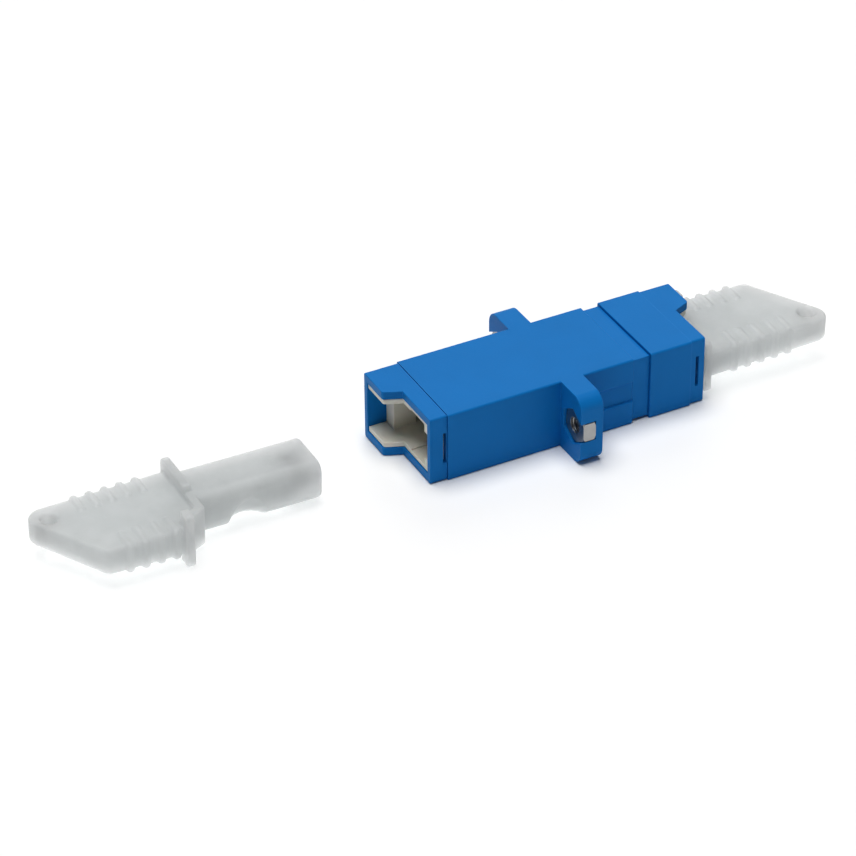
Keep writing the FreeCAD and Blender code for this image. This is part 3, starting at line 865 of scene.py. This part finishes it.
class FIBREADAPTER_OT_guide_inserts(Operator):
    """Model the off-white frames that line both ports"""

    bl_idname = "fibre_adapter.guide_inserts"
    bl_label = "Guide Inserts"

    def execute(self, context):
        housing, size = settings().housing, settings().insert
        front_y, rear_y, middle = ends()
        front = self.lining(housing, size)
        rear = copy_of(front)
        rear.scale.y = -1
        rear.location.y = 2 * middle
        apply_place(rear)
        turn_outwards(rear)
        for side, piece, slit_y in (("front", front, front_y + housing.set_back + housing.front_slit),
                                    ("rear", rear, rear_y - housing.set_back - housing.rear_slit)):
            fuse(piece, self.barb(housing, size, slit_y))
            soften(piece, size.softness)
            finish_piece(piece, f"{side}_guide_frame", "adapter", "port_insert",
                         finish("insert_plastic"), f"{side}_guide_insert")
        return {"FINISHED"}

    def lining(self, housing, size):
        """Frame of the front port, with the latch catch."""
        front, _, middle = ends()
        w, h = (half - size.fit for half in cavity(housing))
        end_y = middle - size.end_gap
        port_h, slot_h = h - size.deck, size.slot_height / 2
        channel_h, catch_h = port_h + size.channel_depth, port_h + size.fit
        left, right = -w + size.left, w - size.right
        catch_y = front + size.catch_back
        window_y = catch_y + size.catch_length
        window_end = window_y + size.window
        slot_y = front + housing.set_back + size.slot_length
        out = housing.width
        piece = block("guide_frame", (-w, front, -h), (w, end_y, h))
        cut(piece,
            block("port", (left, front - out, -port_h), (right, end_y + out, port_h)),
            block("channel", (size.channel_x, front - out, -channel_h), (right, end_y + out, channel_h)),
            block("catch_room", (-out, front - out, -port_h), (left + size.sink, catch_y, port_h)),
            block("latch_window", (-out, window_y, -port_h), (left + size.sink, window_end, port_h)),
            block("slot", (right - size.sink, front - out, -slot_h), (out, slot_y, slot_h)),
            mouth_cutter(housing, front + size.sink, -1))
        fuse(piece, block("catch", (-w, catch_y, -catch_h), (-w + size.catch_width, window_y, catch_h)))
        return piece

    def barb(self, housing, size, y):
        """Barb that holds the frame in a slit of the housing."""
        reach = cavity(housing)[0] - size.fit
        w, h = housing.slit_width / 2 - size.fit, housing.slit_height / 2 - size.fit
        return block("barb", (reach - size.right, y - w, -h), (reach + size.barb, y + w, h))


class FIBREADAPTER_OT_flange_nuts(Operator):
    """Model the two captive nuts, with their threads"""

    bl_idname = "fibre_adapter.flange_nuts"
    bl_label = "Flange Nuts"

    def execute(self, context):
        size = settings().nut
        low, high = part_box("right_flange_nut")
        right = self.nut(size, (low.x + high.x) / 2, low.y, high.y)
        left = copy_of(right)
        left.location.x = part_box("left_flange_nut")[0].x - low.x
        apply_place(left)
        for side, nut in (("right", right), ("left", left)):
            finish_piece(nut, f"{side}_captive_nut", "adapter", "nut_steel",
                         finish("plated_steel"), f"{side}_flange_nut")
        return {"FINISHED"}

    def nut(self, size, x, y0, y1):
        """Chamfered hexagon nut from y0 to y1."""
        corner = size.flats / math.sqrt(3)
        piece = rod("nut", corner, (x, y0, 0), (x, y1, 0), sides=6)
        turned = rod("turned", corner, (x, y0, 0), (x, y1, 0), sides=96)
        bevel(turned, lambda e: in_plane(e, 1, y0) or in_plane(e, 1, y1), size.chamfer, segments=1)
        boolean(piece, turned, "INTERSECT")
        cut(piece, rod("bore", size.thread_width / 2, (x, 2 * y0, 0), (x, -y0, 0), sides=48))
        soften(piece, size.softness)
        join(piece, self.thread(size, x, y0, y1))
        return piece

    def thread(self, size, x, y0, y1):
        """Ridge of the thread, wound along the bore."""
        root, crest, rise = size.thread_width / 2 + size.ridge_sink, size.crest_width / 2, size.ridge / 2
        clear_selection()
        bpy.ops.mesh.primitive_circle_add(vertices=3, radius=1, fill_type="NOTHING")
        ridge = bpy.context.object
        for vertex, place in zip(ridge.data.vertices, ((root, 0, -rise), (crest, 0, 0), (root, 0, rise))):
            vertex.co = place
        turns = math.floor((y1 - y0) / size.pitch) - 1
        winding = ridge.modifiers.new(name="Winding", type="SCREW")
        winding.axis = "Z"
        winding.angle = 2 * math.pi
        winding.screw_offset = size.pitch
        winding.iterations = turns
        winding.steps = winding.render_steps = 36
        winding.use_smooth_shade = True
        activate(ridge)
        bpy.ops.object.modifier_apply(modifier=winding.name)
        ridge.rotation_euler = (math.pi / 2, 0, 0)
        ridge.location = (x, (y0 + y1) / 2 + turns * size.pitch / 2, 0)
        apply_place(ridge)
        edit_all(ridge)
        bpy.ops.mesh.fill_holes(sides=3)
        turn_outwards(ridge)
        return ridge


class FIBREADAPTER_OT_sleeve_parts(Operator):
    """Finish the split sleeve and its two holders, which keep their shapes"""

    bl_idname = "fibre_adapter.sleeve_parts"
    bl_label = "Sleeve Parts"

    def execute(self, context):
        for name, material in (("alignment_sleeve", "ground_ceramic"),
                               ("front_sleeve_holder", "insert_plastic"),
                               ("rear_sleeve_holder", "insert_plastic")):
            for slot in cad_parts[name].material_slots:
                slot.material = finish(material)
        return {"FINISHED"}


class FIBREADAPTER_OT_dust_plugs(Operator):
    """Model the dust plug, then set one in the rear port and one in front of the adapter"""

    bl_idname = "fibre_adapter.dust_plugs"
    bl_label = "Dust Plugs"

    def execute(self, context):
        size = settings().plug
        front, _, _ = ends()
        plug = self.plug(size)
        loose = copy_of(plug)
        plug.rotation_euler = (0, 0, math.pi)
        plug.location = (0, size.seat, 0)
        apply_place(plug)
        finish_piece(plug, "rear_plug_moulding", "rear_plug", "milky_plug",
                     finish("plug_plastic"), "rear_dust_plug")
        floor_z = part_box("main_housing")[0].z
        lift = size.collar_height / 2 * math.cos(size.loose_tilt)
        loose.rotation_euler = (-size.loose_tilt, 0, 0)
        loose.location = (size.loose_x, front - size.loose_gap - size.nose_length, floor_z + lift)
        apply_place(loose)
        finish_piece(loose, "front_plug_moulding", "adapter", "milky_plug",
                     finish("plug_plastic"), "front_dust_plug")
        return {"FINISHED"}

    def plug(self, size):
        """Plug with its nose towards +Y and the seat of its collar at Y = 0."""
        piece = self.grip(size)
        join(piece, self.nose(size), *self.collar(size), *self.ribs(size))
        skin = piece.modifiers.new(name="Skin", type="REMESH")
        skin.mode = "VOXEL"
        skin.voxel_size = size.grain
        relax = piece.modifiers.new(name="Relax", type="SMOOTH")
        relax.factor = size.relax
        relax.iterations = size.relax_rounds
        thin = piece.modifiers.new(name="Thin", type="DECIMATE")
        thin.ratio = size.kept_faces
        activate(piece)
        for change in (skin, relax, thin):
            bpy.ops.object.modifier_apply(modifier=change.name)
        bpy.ops.object.shade_smooth()
        return piece

    def half_thickness(self, size, y):
        """Half the thickness of the grip at a place along it."""
        return size.grip_root / 2 + (size.grip_root - size.grip_tip) / 2 * y / size.grip_length

    def grip(self, size):
        """Wedge-shaped grip with a rounded, holed tip."""
        w, t = size.grip_width / 2, size.collar_thickness
        back = -size.collar_step - t / 2
        half = (math.pi / 2 - size.grip_taper) / 2
        corner_y = -size.grip_length - size.tip_round * (1 / math.tan(half) - 1)
        shoulder_y = corner_y + size.grip_width * math.tan(size.grip_taper)
        corners = [(-w, -t / 2, 0), (size.tongue_end - size.web_run / 2, -t / 2, 0),
                   (size.tongue_end + size.web_run / 2, back, 0), (w, back, 0),
                   (w, shoulder_y, size.shoulder_round), (-w, corner_y, size.tip_round)]
        root = size.grip_root
        piece = prism("grip", corners, lambda u, v: Vector((u, v, -root)), (0, 0, 2 * root))
        slope = (root - size.grip_tip) / 2 / size.grip_length
        for side in (-1, 1):
            edit_all(piece)
            bpy.ops.mesh.bisect(plane_co=(0, 0, side * root / 2), plane_no=(0, -slope, side),
                                use_fill=True, clear_outer=True)
            bpy.ops.object.mode_set(mode="OBJECT")
        hole = Vector((size.hole_x - w, size.hole_y - size.grip_length, 0))
        reach = Vector((0, 0, root))
        cut(piece, rod("cord_hole", size.hole_width / 2, hole - reach, hole + reach, sides=48))
        bevel(piece, lambda e: is_sharp(e) and any(abs(f.normal.z) > LEVEL for f in e.link_faces),
              size.grip_round, segments=3)
        return piece

    def ribs(self, size):
        """Ribs over both edges of the grip: copies of one bead, which follow its taper."""
        w, reach = size.rib_width / 2, size.rib_in + size.rib_out
        root = size.grip_root / 2 + size.rib_proud
        bead = block("rib", (-reach / 2, -w, -root), (reach / 2, w, root))
        bevel(bead, lambda e: True, size.rib_round, segments=4)
        x = size.grip_width / 2 + size.rib_out - reach / 2
        places = [(-x, -size.straight_start - k * size.rib_pitch) for k in range(size.straight_ribs)]
        places += [(x, -size.taper_start - k * size.rib_pitch) for k in range(size.taper_ribs)]
        made = []
        for x, y in places:
            rib = copy_of(bead)
            rib.location = (x, y, 0)
            rib.scale.z = (self.half_thickness(size, y) + size.rib_proud) / root
            apply_place(rib)
            made.append(rib)
        remove(bead)
        return made

    def collar(self, size):
        """Stop plate, low tongue with its slanted web, and wing."""
        side, h, r = size.collar_width / 2, size.collar_height / 2, size.collar_round
        t, low = size.collar_thickness, size.tongue_height / 2
        back = -size.collar_step - t
        inner, tongue, web = size.collar_end, size.tongue_end, size.web_run
        plate = prism("plate", [(-side, -h, r), (inner, -h, 0), (inner, h, 0), (-side, h, r)],
                      lambda u, v: Vector((u, -t, v)), (0, t, 0))
        corners = [(inner - t, 0, 0), (tongue, 0, 0), (tongue + web, -size.collar_step, 0),
                   (side - r, -size.collar_step, 0), (side - r, back, 0), (tongue + web / 2, back, 0),
                   (tongue - web / 2, -t, 0), (inner - t, -t, 0)]
        bridge = prism("tongue", corners, lambda u, v: Vector((u, v, -low)), (0, 0, 2 * low))
        start = tongue + web / 2
        wing = prism("wing", [(start, -h, 0), (side, -h, r), (side, h, r), (start, h, 0)],
                     lambda u, v: Vector((u, back, v)), (0, t, 0))
        for part in (plate, bridge, wing):
            bevel(part, is_sharp, size.collar_edge, segments=2)
        return plate, bridge, wing

    def nose(self, size):
        """Nose with one round side, a bore in its end and a scallop across one edge."""
        left = -size.fibre_x - size.nose_width / 2
        right = -size.fibre_x + size.nose_width / 2
        h, r, y0 = size.nose_height / 2, size.nose_round, -size.collar_thickness / 2
        corners = [(left, -h, size.nose_edge), (right, -h, r), (right, h, r), (left, h, size.nose_edge)]
        piece = prism("nose", corners, lambda u, v: Vector((u, y0, v)), (0, size.nose_length - y0, 0))
        bevel(piece, lambda e: in_plane(e, 1, size.nose_length), size.nose_chamfer, segments=2)
        end = Vector((-size.fibre_x, size.nose_length, 0))
        depth = Vector((0, size.bore_depth, 0))
        cut(piece, rod("bore", size.bore_width / 2, end - depth, end + depth, sides=64))
        lean = size.scallop_lean
        run = Vector((math.sin(lean), 0, math.cos(lean))) * 2 * size.nose_width
        away = Vector((math.cos(lean), 0, -math.sin(lean)))
        middle = Vector((-size.fibre_x, size.scallop_middle, 0))
        middle += away * (size.scallop_reach + size.scallop_radius)
        cut(piece, rod("scallop", size.scallop_radius, middle - run, middle + run, sides=96))
        return piece


class FIBREADAPTER_OT_stage(Operator):
    """Set up the floor, the soft light and the camera"""

    bl_idname = "fibre_adapter.stage"
    bl_label = "Stage"

    def execute(self, context):
        stage = settings().stage
        self.floor(stage)
        self.sky(context, stage)
        self.area_light("overhead_light", stage.key_place, stage.key_size, stage.key_power)
        self.area_light("back_light", stage.back_place, stage.back_size, stage.back_power)
        bpy.ops.object.camera_add(location=stage.camera_place, rotation=stage.camera_turn)
        camera = context.object
        camera.name = "photo_camera"
        camera.data.sensor_width = SENSOR
        camera.data.lens = stage.lens
        camera.data.clip_start, camera.data.clip_end = stage.clip_start, stage.clip_end
        context.scene.camera = camera
        context.scene.view_settings.view_transform = "Standard"
        context.scene.view_settings.look = "Medium High Contrast"
        clear_selection()
        return {"FINISHED"}

    def floor(self, stage):
        """Plain floor under the adapter."""
        clear_selection()
        bpy.ops.mesh.primitive_plane_add(size=stage.floor_size, location=(0, 0, CAD_BOX[0].z))
        floor = bpy.context.object
        floor.name = "floor"
        material = bpy.data.materials.new("floor_paper")
        material.use_nodes = True
        shader = material.node_tree.nodes["Principled BSDF"]
        shader.inputs["Base Color"].default_value = (*stage.floor_colour, 1)
        shader.inputs["Roughness"].default_value = 0.9
        shader.inputs["Specular IOR Level"].default_value = 0.1
        floor.data.materials.append(material)

    def sky(self, context, stage):
        """Surrounding light, brighter near the floor."""
        world = bpy.data.worlds.new("studio")
        context.scene.world = world
        world.use_nodes = True
        tree = world.node_tree
        coords = add_node(tree, "ShaderNodeTexCoord", (-800, 0))
        split = add_node(tree, "ShaderNodeSeparateXYZ", (-600, 0))
        ramp = add_node(tree, "ShaderNodeValToRGB", (-400, 0))
        low, high = ramp.color_ramp.elements
        low.color = (*stage.horizon_colour, 1)
        high.position, high.color = stage.sky_height, (*stage.sky_colour, 1)
        tree.links.new(coords.outputs["Generated"], split.inputs["Vector"])
        tree.links.new(split.outputs["Z"], ramp.inputs["Fac"])
        tree.links.new(ramp.outputs["Color"], tree.nodes["Background"].inputs["Color"])

    def area_light(self, name, place, size, power):
        """Round soft light that faces the adapter."""
        clear_selection()
        bpy.ops.object.light_add(type="AREA", location=place)
        light = bpy.context.object
        light.name = name
        light.data.shape = "DISK"
        light.data.size = size
        light.data.energy = power
        light.rotation_mode = "QUATERNION"
        light.rotation_quaternion = (-Vector(place)).to_track_quat("-Z", "Y")


PIECES = (
    FIBREADAPTER_OT_main_housing,
    FIBREADAPTER_OT_rear_housing,
    FIBREADAPTER_OT_guide_inserts,
    FIBREADAPTER_OT_flange_nuts,
    FIBREADAPTER_OT_sleeve_parts,
    FIBREADAPTER_OT_dust_plugs,
    FIBREADAPTER_OT_stage,
)


class FIBREADAPTER_PT_panel(Panel):
    """Lists the pieces of the fibre adapter"""

    bl_idname = "FIBREADAPTER_PT_panel"
    bl_label = "Fibre Adapter"
    bl_space_type = "VIEW_3D"
    bl_region_type = "UI"
    bl_category = "Fibre Adapter"

    def draw(self, context):
        for piece in PIECES:
            self.layout.operator(piece.bl_idname)
        for part in ("housing", "insert", "nut", "plug", "finish", "stage"):
            group = getattr(settings(), part)
            box = self.layout.box()
            box.label(text=part.title())
            for key in group.__annotations__:
                box.prop(group, key)


GROUPS = (HousingSizes, InsertSizes, NutSizes, PlugSizes, FinishColours, StageSettings, AdapterSettings)


def register():
    for entry in (*GROUPS, *PIECES, FIBREADAPTER_PT_panel):
        bpy.utils.register_class(entry)
    bpy.types.Scene.fibre_adapter = PointerProperty(type=AdapterSettings)


def unregister():
    del bpy.types.Scene.fibre_adapter
    for entry in reversed((*GROUPS, *PIECES, FIBREADAPTER_PT_panel)):
        bpy.utils.unregister_class(entry)


def main():
    register()
    bpy.ops.fibre_adapter.main_housing()
    bpy.ops.fibre_adapter.rear_housing()
    bpy.ops.fibre_adapter.guide_inserts()
    bpy.ops.fibre_adapter.flange_nuts()
    bpy.ops.fibre_adapter.sleeve_parts()
    bpy.ops.fibre_adapter.dust_plugs()
    bpy.ops.fibre_adapter.stage()


if __name__ == "__main__":
    main()
